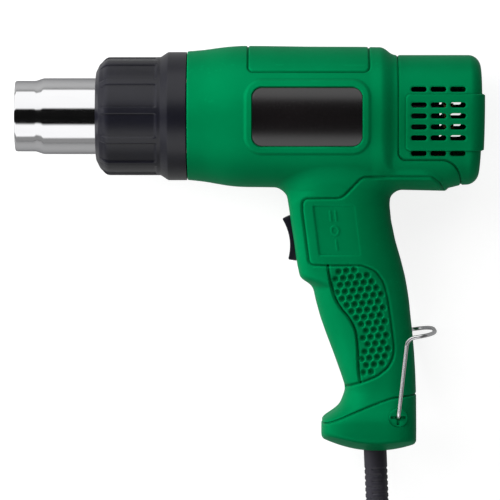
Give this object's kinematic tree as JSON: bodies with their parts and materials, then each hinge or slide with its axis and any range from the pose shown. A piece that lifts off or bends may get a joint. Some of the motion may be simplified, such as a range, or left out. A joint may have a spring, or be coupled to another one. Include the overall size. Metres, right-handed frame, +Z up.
{
  "type": "hot air tool",
  "caption": "Corded hot air tool with a stepped steel nozzle, ribbed heat collar, pistol-grip housing, slotted rear cover, rocker switch, hanging bail and a coiled lead with its plug.",
  "frame": {"origin": "centre of the tool's own bounding box, lead left out, on the surface that the tool lies on", "axes": "+X along the barrel from the nozzle to the rear cover, +Y from the foot to the top of the barrel, +Z up out of the tool's left side"},
  "size_m": [0.2338, 0.4273, 0.066],
  "materials": {
    "shell_green": "satin",
    "plastic_black": "matte",
    "label_black": "gloss",
    "lead_rubber": "matte",
    "nozzle_chrome": "polished",
    "plain_steel": "plain",
    "ferrite": "matte",
    "mica": "matte",
    "ceramic": "matte",
    "brass": "plain",
    "board": "matte",
    "wire_jacket": "satin"
  },
  "bodies": {
    "tool_body": {"housing_left": "shell_green", "housing_right": "shell_green", "rear_cover": "shell_green", "foot_cap": "shell_green", "label_plate": "label_black", "heat_collar": "plastic_black", "nozzle_tube": "nozzle_chrome", "mica_sleeve": "mica", "element_plate_1": "mica", "element_plate_2": "mica", "heating_coil": "plain_steel", "element_holder": "ceramic", "motor_mount": "plastic_black", "motor_can": "plain_steel", "motor_end_cap": "plastic_black", "motor_bush_front": "brass", "motor_bush_rear": "brass", "motor_magnet_1": "ferrite", "motor_magnet_2": "ferrite", "rectifier_board": "board", "switch_body": "plastic_black", "housing_screw_1": "plain_steel", "housing_screw_2": "plain_steel", "housing_screw_3": "plain_steel", "housing_screw_4": "plain_steel", "housing_screw_5": "plain_steel", "clamp_bar": "plastic_black", "clamp_screw_1": "plain_steel", "clamp_screw_2": "plain_steel", "bail_bush_left": "shell_green", "bail_bush_right": "shell_green", "strain_relief": "lead_rubber", "lead_inside": "lead_rubber", "supply_wire_1": "wire_jacket", "supply_wire_2": "wire_jacket", "motor_wire": "wire_jacket", "element_wire": "wire_jacket", "power_lead": "lead_rubber", "lead_coil": "lead_rubber", "lead_tail": "lead_rubber", "lead_tie": "plastic_black", "plug_body": "lead_rubber", "plug_pin_1": "brass", "plug_pin_2": "brass"},
    "rocker_body": {"rocker": "plastic_black"},
    "bail_body": {"wire_bail": "nozzle_chrome"},
    "rotor_body": {"motor_shaft": "plain_steel", "armature": "plain_steel", "fan": "plastic_black"}
  },
  "joints": [
    {"name": "rocker_tilt", "type": "hinge", "parent": "tool_body", "child": "rocker_body", "pos_m": [0.02571, 0.00598, 0.033], "axis": [0, 0, 1], "range_deg": [-9, 9]},
    {"name": "bail_swing", "type": "hinge", "parent": "tool_body", "child": "bail_body", "pos_m": [0.07365, -0.083, 0.033], "axis": [0, 0, 1], "range_deg": [-150, 10]},
    {"name": "rotor_spin", "type": "hinge", "parent": "tool_body", "child": "rotor_body", "pos_m": [0.046, 0.0661, 0.033], "axis": [1, 0, 0], "continuous": true}
  ]
}
